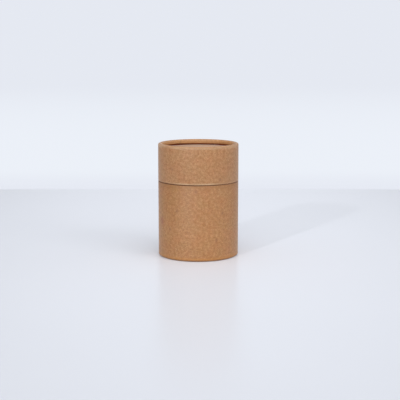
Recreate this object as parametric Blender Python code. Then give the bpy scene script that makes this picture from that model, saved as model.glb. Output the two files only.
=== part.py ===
"""Kraft paper spice shaker tube: a telescoping lid and body of rolled board, with a rotary sifter inside.

Blender 4.5, metres, +Z up. The origin is the middle of the circle that the tube stands on. The lid,
the sifter insert and its dial each hang on an empty on the tube's axis, which is their joint's axis.
"""

import math

import bmesh
import bpy
from mathutils import Matrix

# The tube as a whole
OUTER_DIAMETER = 0.0650
TOTAL_HEIGHT = 0.0913
LID_HEIGHT = 0.0301
SEAM_GAP = 0.0006

# Paper and board, and the gaps between glued and resting layers
WRAP_THICKNESS = 0.0003
WALL_THICKNESS = 0.0011
DISC_THICKNESS = 0.0015
FACING_THICKNESS = 0.0003
NECK_THICKNESS = 0.0010
LINER_THICKNESS = 0.0002
GLUE_LINE = 0.0001
SEAT_GAP = 0.0003

# Rolled edges, whose folded lips hold the end discs
RIM_FLAT = 0.0004
TOP_RECESS = 0.0045
BOTTOM_RECESS = 0.0045
LIP_GAP = 0.0010

# Butted seams of the two wraps, at the back of the tube
WRAP_SEAM_GAP = 0.0002
LID_SEAM_ANGLE = math.radians(120)
BASE_SEAM_ANGLE = math.radians(66)

# Fits between the pieces that slide
NECK_CLEARANCE = 0.00025
LID_HEADROOM = 0.0010

# Sifter insert
SKIRT_CLEARANCE = 0.00025
SKIRT_THICKNESS = 0.0009
SKIRT_DEPTH = 0.0090
SKIRT_LEAD_IN = 0.0005
FLANGE_THICKNESS = 0.0010
FLANGE_INSET = 0.00025
PLATE_THICKNESS = 0.0010
BEAD_HEIGHT = 0.00015
BEAD_WIDTH = 0.0010
BEAD_DROP = 0.0030
BEAD_PITCH = 0.0024
BEAD_COUNT = 2
POST_RADIUS = 0.0030
POST_HEAD_REACH = 0.0008
POST_SLOT_WIDTH = 0.0008

# Sifter dial
DIAL_THICKNESS = 0.0012
DIAL_CLEARANCE = 0.0003
GRIP_HEIGHT = 0.0016
GRIP_WIDTH = 0.0024
GRIP_DRAFT = 0.0004
GRIP_END_MARGIN = 0.0030
LUG_REACH = 0.0007
LUG_WIDTH = 0.0040
LUG_THICKNESS = 0.0006
LUG_ANGLE = math.radians(270)

# Holes in wedges of rows, alike on the insert and the dial, which turns half a wedge to open them
HOLE_DIAMETER = 0.0026
HOLE_PITCH = 0.0042
HOLE_ROWS = 3
HOLE_WEDGES = 6
HOLE_EDGE_MARGIN = 0.0044

# Facets
RING_SIDES = 60
ROLL_STEPS = 3
HOLE_SIDES = 8
POST_SIDES = 20
NOTCH_STEPS = 8
CUT_OVERRUN = 0.0010
WELD_DISTANCE = 1e-7
SHARP_ANGLE = math.radians(35)

# Radii, from the outside in
outer_radius = OUTER_DIAMETER / 2
wall_radius = outer_radius - WRAP_THICKNESS - GLUE_LINE
bore_radius = wall_radius - WALL_THICKNESS
disc_radius = bore_radius - GLUE_LINE
neck_radius = bore_radius - NECK_CLEARANCE
neck_bore_radius = neck_radius - NECK_THICKNESS
liner_radius = neck_bore_radius - GLUE_LINE
chamber_radius = liner_radius - LINER_THICKNESS
flange_radius = neck_radius - FLANGE_INSET
skirt_radius = chamber_radius - SKIRT_CLEARANCE
well_radius = skirt_radius - SKIRT_THICKNESS
dial_radius = well_radius - DIAL_CLEARANCE
post_head_radius = POST_RADIUS + POST_HEAD_REACH

# Heights above the table
base_top = TOTAL_HEIGHT - LID_HEIGHT - SEAM_GAP
base_disc_z = BOTTOM_RECESS + FACING_THICKNESS + GLUE_LINE
neck_z = base_disc_z + DISC_THICKNESS + GLUE_LINE
liner_z = neck_z + LINER_THICKNESS + GLUE_LINE
lid_z = TOTAL_HEIGHT - LID_HEIGHT
lid_facing_z = TOTAL_HEIGHT - TOP_RECESS - FACING_THICKNESS
lid_disc_z = lid_facing_z - GLUE_LINE - DISC_THICKNESS
sifter_z = lid_disc_z - LID_HEADROOM - GRIP_HEIGHT - FLANGE_THICKNESS
neck_top = sifter_z - SEAT_GAP
dial_z = sifter_z + FLANGE_THICKNESS - DIAL_THICKNESS

# Heights above the flange's underside, on the sifter insert
plate_z = FLANGE_THICKNESS - DIAL_THICKNESS - DIAL_CLEARANCE - PLATE_THICKNESS
post_top = FLANGE_THICKNESS + GRIP_HEIGHT

half_wedge = math.pi / HOLE_WEDGES


def clear_scene():
    for obj in list(bpy.data.objects):
        bpy.data.objects.remove(obj, do_unlink=True)


def make_material(name, color, roughness, metallic=0.0):
    """A Principled material in one plain colour."""
    material = bpy.data.materials.new(name)
    material.use_nodes = True
    shader = material.node_tree.nodes["Principled BSDF"]
    shader.inputs["Base Color"].default_value = (*color, 1.0)
    shader.inputs["Roughness"].default_value = roughness
    shader.inputs["Metallic"].default_value = metallic
    material.diffuse_color = (*color, 1.0)
    return material


def make_axis(name, z, parent=None):
    """An empty on the tube's axis at height z above the table, which carries an assembly."""
    axis = bpy.data.objects.new(name, None)
    axis.empty_display_size = outer_radius
    axis.parent = parent
    axis.location.z = z - (parent.location.z if parent else 0.0)
    bpy.context.scene.collection.objects.link(axis)
    return axis


def make_object(name, bm, material, parent, z=0.0):
    """Links a finished bmesh as an object, at height z above its parent."""
    bmesh.ops.recalc_face_normals(bm, faces=bm.faces)
    mesh = bpy.data.meshes.new(name)
    bm.to_mesh(mesh)
    bm.free()
    if material:
        mesh.materials.append(material)
    shade(mesh)
    obj = bpy.data.objects.new(name, mesh)
    obj.parent = parent
    obj.location.z = z
    bpy.context.scene.collection.objects.link(obj)
    return obj


def shade(mesh):
    """Smooth round walls, with sharp edges where two faces meet at an angle."""
    mesh.shade_smooth()
    mesh.set_sharp_from_angle(angle=SHARP_ANGLE)


def combine(obj, name, bm, operation):
    """Adds the bmesh to the object, or cuts it out, in the object's own frame."""
    helper = make_object(name, bm, None, obj)
    helper.hide_render = True
    helper.display_type = "WIRE"
    modifier = obj.modifiers.new(name, "BOOLEAN")
    modifier.operation = operation
    modifier.object = helper
    modifier.solver = "EXACT"


def settle(obj):
    """Makes the result of the Booleans the object's own mesh, so that its new edges can be shaded."""
    bpy.context.view_layer.update()
    graph = bpy.context.evaluated_depsgraph_get()
    mesh = bpy.data.meshes.new_from_object(obj.evaluated_get(graph))
    helpers = [modifier.object for modifier in obj.modifiers]
    obj.modifiers.clear()
    for helper in helpers:
        bpy.data.objects.remove(helper, do_unlink=True)
    shade(mesh)
    obj.data = mesh


def arc(center, radius, start, stop):
    """Points (radius, height) along an arc of the rolled edge, with angles in degrees."""
    points = []
    for step in range(ROLL_STEPS + 1):
        angle = math.radians(start + (stop - start) * step / ROLL_STEPS)
        points.append((center[0] + radius * math.cos(angle), center[1] + radius * math.sin(angle)))
    return points


def turned(profile, start=0.0, sweep=2 * math.pi, steps=RING_SIDES):
    """Spins a closed outline of (radius, height) points round the axis, into a ring or a capped sector."""
    bm = bmesh.new()
    corners = [bm.verts.new((radius, 0.0, height)) for radius, height in profile]
    section = bm.faces.new(corners)
    bmesh.ops.rotate(bm, verts=corners, matrix=Matrix.Rotation(start, 3, "Z"))
    whole = math.isclose(sweep, 2 * math.pi)
    geometry = corners + list(section.edges)
    if whole:
        bm.faces.remove(section)
    else:
        geometry.append(section)
    bmesh.ops.spin(bm, geom=geometry, axis=(0, 0, 1), angle=sweep, steps=steps, use_merge=whole)
    bmesh.ops.remove_doubles(bm, verts=bm.verts, dist=WELD_DISTANCE)
    return bm


def round_plate(radius, thickness, z=0.0, sides=RING_SIDES, center=(0.0, 0.0)):
    """A round plate or plug, whose underside is at height z."""
    bm = bmesh.new()
    add_round_plate(bm, radius, thickness, z, sides, center)
    return bm


def add_round_plate(bm, radius, thickness, z, sides, center):
    circle = bmesh.ops.create_circle(bm, cap_ends=True, radius=radius, segments=sides)
    bmesh.ops.translate(bm, verts=circle["verts"], vec=(*center, z))
    base = {face for vert in circle["verts"] for face in vert.link_faces}
    raised = bmesh.ops.extrude_face_region(bm, geom=list(base), use_keep_orig=True)
    top = [item for item in raised["geom"] if isinstance(item, bmesh.types.BMVert)]
    bmesh.ops.translate(bm, verts=top, vec=(0.0, 0.0, thickness))


def block(size, center, draft=0.0):
    """A box whose top face is drawn in by the draft on every side."""
    bm = bmesh.new()
    made = bmesh.ops.create_cube(bm, size=1.0)
    bmesh.ops.scale(bm, verts=made["verts"], vec=size)
    for vert in made["verts"]:
        if vert.co.z > 0:
            vert.co.x -= math.copysign(draft, vert.co.x)
            vert.co.y -= math.copysign(draft, vert.co.y)
    bmesh.ops.translate(bm, verts=made["verts"], vec=center)
    return bm


def rolled_line(height, recess, offset):
    """The line of one layer, from the open edge at 0 up over the rolled rim to the lip's edge."""
    roll_radius = outer_radius - bore_radius - RIM_FLAT / 2
    roll_z = height - roll_radius
    inner_radius = 2 * bore_radius - outer_radius
    outer_center = (outer_radius - roll_radius, roll_z)
    inner_center = (inner_radius + roll_radius, roll_z)
    return [
        (outer_radius - offset, 0.0),
        *arc(outer_center, roll_radius - offset, 0, 90),
        *arc(inner_center, roll_radius - offset, 90, 180),
        (inner_radius + offset, height - recess + LIP_GAP),
    ]


def wrap_outline(height, recess):
    """Kraft facing over the wall, round the roll and down the lip."""
    outside = rolled_line(height, recess, 0.0)
    inside = rolled_line(height, recess, WRAP_THICKNESS)
    return outside + inside[::-1]


def wall_outline(height, recess):
    """Board wall folded back on itself at the rolled rim."""
    outside = rolled_line(height, recess, WRAP_THICKNESS + GLUE_LINE)
    lip_z = height - recess + LIP_GAP
    return outside + [(bore_radius, lip_z), (bore_radius, 0.0)]


def upside_down(outline, height):
    return [(radius, height - z) for radius, z in outline]


def sleeve_outline(radius, thickness, height):
    return [(radius, 0.0), (radius, height), (radius - thickness, height), (radius - thickness, 0.0)]


def seamed(outline, seam_angle):
    """A turned wrap whose two ends leave a fine gap at the seam."""
    opening = WRAP_SEAM_GAP / outer_radius
    return turned(outline, seam_angle + opening / 2, 2 * math.pi - opening)


def sifter_outline():
    """Flange, skirt with sealing beads and lead-in, with height 0 at the flange's underside."""
    points = [
        (well_radius, FLANGE_THICKNESS),
        (flange_radius, FLANGE_THICKNESS),
        (flange_radius, 0.0),
        (skirt_radius, 0.0),
    ]
    for bead in range(BEAD_COUNT):
        z = -BEAD_DROP - bead * BEAD_PITCH
        points.append((skirt_radius, z + BEAD_WIDTH / 2))
        points.append((skirt_radius + BEAD_HEIGHT, z))
        points.append((skirt_radius, z - BEAD_WIDTH / 2))
    points.append((skirt_radius, SKIRT_LEAD_IN - SKIRT_DEPTH))
    points.append((skirt_radius - SKIRT_LEAD_IN, -SKIRT_DEPTH))
    points.append((well_radius, -SKIRT_DEPTH))
    return points


def hole_centers(turn):
    """Centres of the sifting holes: wedges of rows, each row one hole longer than the row inside it."""
    centers = []
    outer_row = dial_radius - HOLE_EDGE_MARGIN
    for wedge in range(HOLE_WEDGES):
        middle = turn + 2 * half_wedge * wedge
        for row in range(HOLE_ROWS):
            radius = outer_row - row * HOLE_PITCH
            count = HOLE_ROWS - row
            for hole in range(count):
                angle = middle + (hole - (count - 1) / 2) * HOLE_PITCH / radius
                centers.append((radius * math.cos(angle), radius * math.sin(angle)))
    return centers


def hole_cutter(z, thickness, turn):
    bm = bmesh.new()
    for center in hole_centers(turn):
        depth = thickness + 2 * CUT_OVERRUN
        add_round_plate(bm, HOLE_DIAMETER / 2, depth, z - CUT_OVERRUN, HOLE_SIDES, center)
    return bm


def make_lid(axis, kraft, board):
    wrap = seamed(wrap_outline(LID_HEIGHT, TOP_RECESS), LID_SEAM_ANGLE)
    make_object("lid_wrap", wrap, kraft, axis)
    make_object("lid_tube", turned(wall_outline(LID_HEIGHT, TOP_RECESS)), board, axis)
    make_object("lid_disc", round_plate(disc_radius, DISC_THICKNESS), board, axis, lid_disc_z - lid_z)
    facing = round_plate(disc_radius, FACING_THICKNESS)
    make_object("lid_disc_facing", facing, kraft, axis, lid_facing_z - lid_z)


def make_base(axis, kraft, board):
    wrap = upside_down(wrap_outline(base_top, BOTTOM_RECESS), base_top)
    make_object("base_wrap", seamed(wrap, BASE_SEAM_ANGLE), kraft, axis)
    wall = upside_down(wall_outline(base_top, BOTTOM_RECESS), base_top)
    make_object("base_tube", turned(wall), board, axis)
    make_object("base_disc", round_plate(disc_radius, DISC_THICKNESS), board, axis, base_disc_z)
    facing = round_plate(disc_radius, FACING_THICKNESS)
    make_object("base_disc_facing", facing, kraft, axis, BOTTOM_RECESS)


def make_neck(axis, board, foil):
    neck = sleeve_outline(neck_radius, NECK_THICKNESS, neck_top - neck_z)
    make_object("neck_tube", turned(neck), board, axis, neck_z)
    liner = sleeve_outline(liner_radius, LINER_THICKNESS, neck_top - liner_z)
    make_object("barrier_liner", turned(liner), foil, axis, liner_z)
    make_object("bottom_liner", round_plate(liner_radius, LINER_THICKNESS), foil, axis, neck_z)


def make_sifter(axis, plastic):
    """Moulded insert: a ring, a perforated plate, a split snap post and a notch for the dial's lug."""
    cup = make_object("sifter_cup", turned(sifter_outline()), plastic, axis)
    plate = round_plate(well_radius + SKIRT_THICKNESS / 2, PLATE_THICKNESS, plate_z)
    combine(cup, "sifter_plate", plate, "UNION")
    combine(cup, "sifter_holes", hole_cutter(plate_z, PLATE_THICKNESS, 0.0), "DIFFERENCE")
    combine(cup, "snap_post", turned(post_outline(), steps=POST_SIDES), "UNION")
    for name, turn in (("post_slot_x", 0.0), ("post_slot_y", math.pi / 2)):
        combine(cup, name, post_slot(turn), "DIFFERENCE")
    combine(cup, "lug_notch", notch_cutter(), "DIFFERENCE")
    settle(cup)


def post_outline():
    """Post rooted in the plate, with a head over the dial that tapers to its top."""
    root_z = plate_z + PLATE_THICKNESS / 2
    head_z = FLANGE_THICKNESS + DIAL_CLEARANCE
    return [
        (0.0, root_z),
        (POST_RADIUS, root_z),
        (POST_RADIUS, head_z),
        (post_head_radius, head_z),
        (POST_RADIUS, post_top),
        (0.0, post_top),
    ]


def post_slot(turn):
    """A cut across the post that splits it into springy prongs, down to the dial's underside."""
    depth = post_top - plate_z - PLATE_THICKNESS - DIAL_CLEARANCE
    slot = block((4 * post_head_radius, POST_SLOT_WIDTH, 2 * depth), (0.0, 0.0, post_top))
    bmesh.ops.rotate(slot, verts=slot.verts, matrix=Matrix.Rotation(turn, 3, "Z"))
    return slot


def notch_cutter():
    """The pocket in the flange's inner edge that lets the dial's lug travel and stops it at both ends."""
    margin = (LUG_WIDTH / 2 + DIAL_CLEARANCE) / dial_radius
    inner = well_radius - CUT_OVERRUN
    outer = dial_radius + LUG_REACH + DIAL_CLEARANCE
    floor = FLANGE_THICKNESS - LUG_THICKNESS - DIAL_CLEARANCE
    top = FLANGE_THICKNESS + CUT_OVERRUN
    section = [(inner, floor), (outer, floor), (outer, top), (inner, top)]
    return turned(section, LUG_ANGLE - margin, half_wedge + 2 * margin, NOTCH_STEPS)


def make_dial(axis, plastic):
    """Turning shutter: a perforated disc with two finger bars and a stop lug, closed at rest."""
    dial = make_object("sifter_dial", round_plate(dial_radius, DIAL_THICKNESS), plastic, axis)
    combine(dial, "dial_holes", hole_cutter(0.0, DIAL_THICKNESS, half_wedge), "DIFFERENCE")
    bore_height = DIAL_THICKNESS + 2 * CUT_OVERRUN
    bore = round_plate(POST_RADIUS + DIAL_CLEARANCE, bore_height, -CUT_OVERRUN, POST_SIDES)
    combine(dial, "dial_bore", bore, "DIFFERENCE")
    bar_start = post_head_radius + DIAL_CLEARANCE
    bar_length = dial_radius - GRIP_END_MARGIN - bar_start
    bar_height = GRIP_HEIGHT + DIAL_THICKNESS / 2
    bar_size = (bar_length, GRIP_WIDTH, bar_height)
    for name, side in (("grip_bar_right", 1), ("grip_bar_left", -1)):
        center = (side * (bar_start + bar_length / 2), 0.0, DIAL_THICKNESS / 2 + bar_height / 2)
        combine(dial, name, block(bar_size, center, GRIP_DRAFT), "UNION")
    lug_size = (2 * LUG_REACH, LUG_WIDTH, LUG_THICKNESS)
    lug = block(lug_size, (dial_radius, 0.0, DIAL_THICKNESS - LUG_THICKNESS / 2))
    bmesh.ops.rotate(lug, verts=lug.verts, matrix=Matrix.Rotation(LUG_ANGLE, 3, "Z"))
    combine(dial, "stop_lug", lug, "UNION")
    settle(dial)


def main():
    clear_scene()
    kraft = make_material("kraft_facing", (0.45, 0.24, 0.12), 0.85)
    board = make_material("tube_board", (0.40, 0.22, 0.12), 0.90)
    foil = make_material("foil_paper", (0.75, 0.75, 0.76), 0.35, 0.9)
    insert_plastic = make_material("insert_plastic", (0.85, 0.85, 0.82), 0.45)
    dial_plastic = make_material("dial_plastic", (0.80, 0.79, 0.75), 0.40)
    tube_axis = make_axis("tube_axis", 0.0)
    sifter_axis = make_axis("sifter_axis", sifter_z, tube_axis)
    dial_axis = make_axis("dial_axis", dial_z, sifter_axis)
    lid_axis = make_axis("lid_axis", lid_z, sifter_axis)
    make_base(tube_axis, kraft, board)
    make_neck(tube_axis, board, foil)
    make_sifter(sifter_axis, insert_plastic)
    make_dial(dial_axis, dial_plastic)
    make_lid(lid_axis, kraft, board)


main()
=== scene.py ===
import math

import bmesh
import bpy
from mathutils import Matrix, Vector, noise


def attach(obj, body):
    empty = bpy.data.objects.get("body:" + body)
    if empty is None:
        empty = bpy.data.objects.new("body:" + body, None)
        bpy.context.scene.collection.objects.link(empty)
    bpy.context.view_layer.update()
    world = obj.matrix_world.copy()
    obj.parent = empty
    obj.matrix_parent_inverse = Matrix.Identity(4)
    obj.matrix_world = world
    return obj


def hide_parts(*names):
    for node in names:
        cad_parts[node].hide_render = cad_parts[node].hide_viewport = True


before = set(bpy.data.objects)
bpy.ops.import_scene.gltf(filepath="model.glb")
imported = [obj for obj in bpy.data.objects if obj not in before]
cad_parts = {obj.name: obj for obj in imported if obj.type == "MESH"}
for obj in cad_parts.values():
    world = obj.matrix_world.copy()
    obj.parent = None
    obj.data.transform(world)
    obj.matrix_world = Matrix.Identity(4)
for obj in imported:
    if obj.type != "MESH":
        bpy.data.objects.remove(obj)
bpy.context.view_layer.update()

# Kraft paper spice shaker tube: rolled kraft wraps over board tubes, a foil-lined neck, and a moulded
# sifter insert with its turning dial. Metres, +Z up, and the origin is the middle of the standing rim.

# Heights above the table
TUBE_TOP = 0.0913
LID_EDGE = 0.0612
BODY_EDGE = 0.0606
LID_FACING_Z = 0.0865
LID_DISC_Z = 0.0849
BASE_FACING_Z = 0.0045
BASE_DISC_Z = 0.0049
NECK_FOOT = 0.0065
NECK_TOP = 0.0810
LINER_FOOT = 0.0068

# Radii, from the outside in
OUTER_RADIUS = 0.0325
WALL_RADIUS = 0.0321
BORE_RADIUS = 0.0310
DISC_RADIUS = 0.0309
NECK_RADIUS = 0.03075
NECK_BORE_RADIUS = 0.02975
LINER_RADIUS = 0.02965
CHAMBER_RADIUS = 0.02945
LIP_RADIUS = 0.0295
BOARD_LIP_RADIUS = 0.0299

# Paper, board and their rolled edges
WRAP_THICKNESS = 0.0003
FACING_THICKNESS = 0.0003
LINER_THICKNESS = 0.0002
DISC_THICKNESS = 0.0015
ROLL_RADIUS = 0.0013
BOARD_ROLL_RADIUS = 0.0009
ROLL_SEGMENTS = 12
LIP_DEPTH = 0.0035
EDGE_ROUND = 0.0001
DISC_ROUND = 0.0002
LINER_ROUND = 0.00005
PLY_GROOVE_WIDTH = 0.00005
PLY_GROOVE_DEPTH = 0.00006
PLIES = 4

# Butted seams of the wraps, at the back
SEAM_GAP = 0.0002
LID_SEAM_ANGLE = math.radians(120)
BODY_SEAM_ANGLE = math.radians(66)

# Hand-rolled unevenness: gathers on the lip, a wavy lip edge and a lid edge that is not quite square
GATHER_DEPTH = 0.00007
GATHERS_PER_RADIAN = 12
LIP_WAVE = 0.00008
LIP_WAVES_PER_RADIAN = 2
LIP_WAVE_PLACE = Vector((7.0, 3.0, 0.0))
LIP_LIFT = 0.00035
LIP_LIFT_PLACES = ((math.radians(130), 0.30), (math.radians(46), 0.26))
LID_TILT = 0.00016
LID_TILT_ANGLE = math.radians(188)

# Kraft facing: its own browns, deep and light, plain and in the redder parts of the sheet
KRAFT_DEEP = (0.270, 0.114, 0.019)
KRAFT_DEEP_REDDER = (0.279, 0.101, 0.015)
KRAFT_LIGHT = (0.442, 0.224, 0.091)
KRAFT_LIGHT_REDDER = (0.454, 0.206, 0.079)
BODY_TINT = (1.0, 0.975, 0.86)
PALE_FIBER_COLOR = (0.570, 0.342, 0.176)
DARK_FIBER_COLOR = (0.20, 0.085, 0.035)
SHIVE_COLOR = (0.17, 0.07, 0.03)
FIBER_DIRECTIONS = (14, 73, 131)
HUE_PLACE_SHIFT = (0.7, 0.3, 0.0)
STREAK_STRETCH = (80.0, 1000.0, 0.0)

# Marks on the kraft: the body darker towards its top, with painted shade just under the lid's edge; the lid
# paler low down; painted warm reflected light on the rolled foot and painted shade on its underside; rubbed
# edges, partly painted highlight; painted light inside the lips and on the discs; and painted shade in the
# disc corners and the joint. A reach is how far off a mark begins to fade and how far off it ends.
JOINT_Z = (BODY_EDGE + LID_EDGE) / 2
BODY_DARKENING_FOOT = 0.0200
BODY_DARKENING_TOP = 0.0550
UNDER_LID_SHADE_DEPTH = 0.0055
LID_PALER_FOOT = 0.0660
LID_PALER_TOP = 0.0800
# Painted warm reflected light on the rolled foot, and painted shade on its underside
FOOT_REFLECTED_LIGHT_COLOR = (0.43, 0.170, 0.024)
FOOT_REFLECTED_LIGHT_REACH = (0.0012, 0.0042)
FOOT_SHADE_COLOR = (0.12, 0.050, 0.020)
FOOT_SHADE_REACH = (0.0007, 0.0020)
# Pale rubbed paper, also used as painted highlight
RUBBED_AND_HIGHLIGHT_COLOR = (0.589, 0.414, 0.248)
# Painted light inside the lips and on the discs
RECESS_LIGHT_COLOR = (0.650, 0.350, 0.135)
# Painted shade in the disc corners and in the joint between lid and body
PAINTED_SHADE_COLOR = (0.215, 0.031, 0.004)
CORNER_SHADE_REACH = (0.0008, 0.0018)
JOINT_SHADE_REACH = (0.0002, 0.0004)

# A redder patch low on the left and the largest specks, by degrees round from the front and height
RED_PATCH = (-63, 0.030)
RED_PATCH_COLOR = (0.25, 0.062, 0.018)
RED_PATCH_REACH = (0.0010, 0.0048)
SPECKS = ((36, 0.038), (-31, 0.040), (32, 0.065), (-39, 0.073), (-44, 0.025), (26, 0.017), (-3, 0.056))
SPECK_COLOR = (0.20, 0.070, 0.018)
SPECK_REACH = (0.0002, 0.0022)

# Board, foil and plastics
BOARD_COLOR = (0.395, 0.225, 0.125)
SHRED_COLOR = (0.62, 0.46, 0.32)
FOIL_COLOR = (0.78, 0.78, 0.79)
CRINKLES_PER_METER = 420.0
INSERT_COLOR = (0.80, 0.80, 0.77)
DIAL_COLOR = (0.78, 0.77, 0.73)

# Sifter insert, with heights above the flange's underside
SIFTER_Z = 0.0813
FLANGE_RADIUS = 0.0305
FLANGE_THICKNESS = 0.0010
SKIRT_RADIUS = 0.0292
SKIRT_DEPTH = 0.0090
WELL_RADIUS = 0.0283
BEAD_HEIGHT = 0.00015
BEAD_WIDTH = 0.0010
BEAD_HEIGHTS = (-0.0030, -0.0054)
BEAD_ROUND = 0.0003
LEAD_IN_ROUND = 0.0005
FLANGE_FILLET = 0.00015
PLATE_Z = -0.0015
PLATE_THICKNESS = 0.0010
POST_RADIUS = 0.0030
POST_HEAD_RADIUS = 0.0038
POST_HEAD_Z = 0.0013
POST_TOP = 0.0026
POST_HEAD_ROUND = 0.0002
POST_SLOT_WIDTH = 0.0008
POST_SLOT_FLOOR = -0.0002
NOTCH_FLOOR = 0.0001
NOTCH_REACH = 0.0290
NOTCH_PLAY = 0.0003

# Sifter dial, with heights above its underside
DIAL_Z = 0.0811
DIAL_RADIUS = 0.0280
DIAL_THICKNESS = 0.0012
DIAL_BORE_RADIUS = 0.0033
BAR_INNER_END = 0.0041
BAR_OUTER_END = 0.0250
BAR_WIDTH = 0.0024
BAR_TOP = 0.0028
BAR_DRAFT = 0.0004
LUG_REACH = 0.0007
LUG_WIDTH = 0.0040
LUG_THICKNESS = 0.0006
LUG_DROP = 0.00003
LUG_ANGLE = math.radians(270)

# Sifting holes: wedges of rows, each row one hole longer than the row inside it
HOLE_RADIUS = 0.0013
HOLE_PITCH = 0.0042
HOLE_ROWS = 3
HOLE_WEDGES = 6
OUTER_ROW_RADIUS = 0.0236
HALF_WEDGE = math.pi / HOLE_WEDGES

# Fineness of the round pieces
FULL_TURN = 2 * math.pi
WRAP_STEPS = 360
WALL_STEPS = 240
HOLE_SIDES = 24
POST_STEPS = 48
NOTCH_STEPS = 24
EDGE_SEGMENTS = 2
CORNER_SEGMENTS = 3
BEAD_SEGMENTS = 4
WELD_DISTANCE = 1e-6
CUT_WELD_DISTANCE = 1e-5
SHARP_ANGLE = math.radians(32)
FLAT_ANGLE = math.radians(0.5)
MOULD_ROUND = 0.00012
MOULD_ROUND_ANGLE = math.radians(40)
CUT_OVERRUN = 0.0010

# Camera
CAMERA_PLACE = (0.00136, -0.7646, 0.1689)
CAMERA_PITCH = math.radians(9.245)
CAMERA_LENS = 85.48
SENSOR_WIDTH = 36.0
CLIP_START = 0.01

# Table top: its colour, with painted light falloff that makes it paler or darker away from the tube, up to
# where the backdrop takes over
TABLE_COLOR = (0.833, 0.859, 0.930)
TABLE_SLOPE = 0.46
TABLE_BEND = {"X": -2.9, "Y": -0.38}
TABLE_DARKEST = 0.7
TABLE_RADIUS = 9.0
TABLE_STEPS = 96
TABLE_DROP = 0.00002
TABLE_EDGE = (0.349, 0.360)
EDGE_POWER = 8
NEAR_BACKDROP_COLOR = (0.795, 0.825, 0.900)
NEAR_BACKDROP_REACH = (0.36, 0.55)
MIDDLE_BACKDROP_COLOR = (0.838, 0.875, 0.940)
MIDDLE_BACKDROP_REACH = (0.6, 3.5)
BACKDROP_COLOR = (0.785, 0.815, 0.885)

# Lights: azimuth round from the front and elevation in degrees, distance, size, and the share of full
# light that each gives a surface facing it
ROOM_LIGHT_COLOR = (0.97, 0.985, 1.0)
ROOM_LIGHT = 0.497
SOFTBOXES = {
    "key_light": (-31.0, 21.2, 1.6, 0.035, 0.205),
    "side_light": (49.5, 32.5, 1.4, 0.6, 0.205),
    "top_light": (5.0, 80.0, 1.5, 1.1, 0.180),
    "front_light": (5.0, 35.0, 1.5, 1.1, 0.270),
    "low_light": (-34.0, 2.0, 1.5, 0.3, 0.118),
    "right_light": (85.0, 15.0, 1.5, 1.2, 0.095),
}


# Node building

def node(tree, kind, inputs=None, **settings):
    """Adds a shader node, with its settings and its inputs as values or as sockets to link from."""
    made = tree.nodes.new("ShaderNode" + kind)
    for setting, value in settings.items():
        setattr(made, setting, value)
    for socket, value in (inputs or {}).items():
        if isinstance(value, bpy.types.NodeSocket):
            tree.links.new(value, made.inputs[socket])
        else:
            made.inputs[socket].default_value = value
    return made


def math_node(tree, operation, first, second=0.0):
    return node(tree, "Math", {0: first, 1: second}, operation=operation).outputs[0]


def ramp(tree, value, low, high, start=0.0, end=1.0):
    """Maps low..high smoothly to start..end."""
    inputs = {"Value": value, "From Min": low, "From Max": high, "To Min": start, "To Max": end}
    return node(tree, "MapRange", inputs, interpolation_type="SMOOTHSTEP").outputs["Result"]


def blend_color(tree, amount, first, second, mode="MIX"):
    mixed = node(tree, "Mix", data_type="RGBA", blend_type=mode)
    for socket, value in ((0, amount), (6, first), (7, second)):
        if isinstance(value, bpy.types.NodeSocket):
            tree.links.new(value, mixed.inputs[socket])
        else:
            mixed.inputs[socket].default_value = value if socket == 0 else (*value, 1.0)
    return mixed.outputs[2]


def scaled_color(tree, color, factor):
    return node(tree, "VectorMath", {0: color, "Scale": factor}, operation="SCALE").outputs[0]


def effect_group(name, inputs, outputs):
    """A node group with named float and vector inputs and named outputs."""
    tree = bpy.data.node_groups.new(name, "ShaderNodeTree")
    for label, value in inputs.items():
        kind = "NodeSocketFloat" if isinstance(value, float) else "NodeSocketVector"
        socket = tree.interface.new_socket(label, in_out="INPUT", socket_type=kind)
        if kind == "NodeSocketFloat":
            socket.default_value = value
    for label in outputs:
        tree.interface.new_socket(label, in_out="OUTPUT", socket_type="NodeSocketFloat")
    return tree, tree.nodes.new("NodeGroupInput").outputs, tree.nodes.new("NodeGroupOutput").inputs


def effect(tree, group, **inputs):
    """Places an effect group in a material; input names have their spaces as underscores."""
    named = {label.replace("_", " "): value for label, value in inputs.items()}
    return node(tree, "Group", named, node_tree=group).outputs


def distance_between(tree, first, second):
    return node(tree, "VectorMath", {0: first, 1: second}, operation="DISTANCE").outputs["Value"]


def axis_distance(tree, place):
    """How far a place is from the tube's axis."""
    flat = node(tree, "VectorMath", {0: place, 1: (1.0, 1.0, 0.0)}, operation="MULTIPLY").outputs[0]
    return node(tree, "VectorMath", {0: flat}, operation="LENGTH").outputs["Value"]


# Effects, as node groups

def make_cloud_effect():
    """Uneven tone in soft patches, as a factor round 1."""
    tree, given, result = effect_group(
        "cloudy_tone", {"Place": None, "Patch Size": 0.006, "Depth": 0.05}, ["Tone"]
    )
    scale = math_node(tree, "DIVIDE", 1.0, given["Patch Size"])
    patches = node(tree, "TexNoise", {"Vector": given["Place"], "Scale": scale, "Detail": 3.0})
    lifted = math_node(tree, "SUBTRACT", patches.outputs["Fac"], 0.5)
    swing = math_node(tree, "MULTIPLY", lifted, math_node(tree, "MULTIPLY", given["Depth"], 4.0))
    tree.links.new(math_node(tree, "ADD", swing, 1.0), result["Tone"])
    return tree


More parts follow.
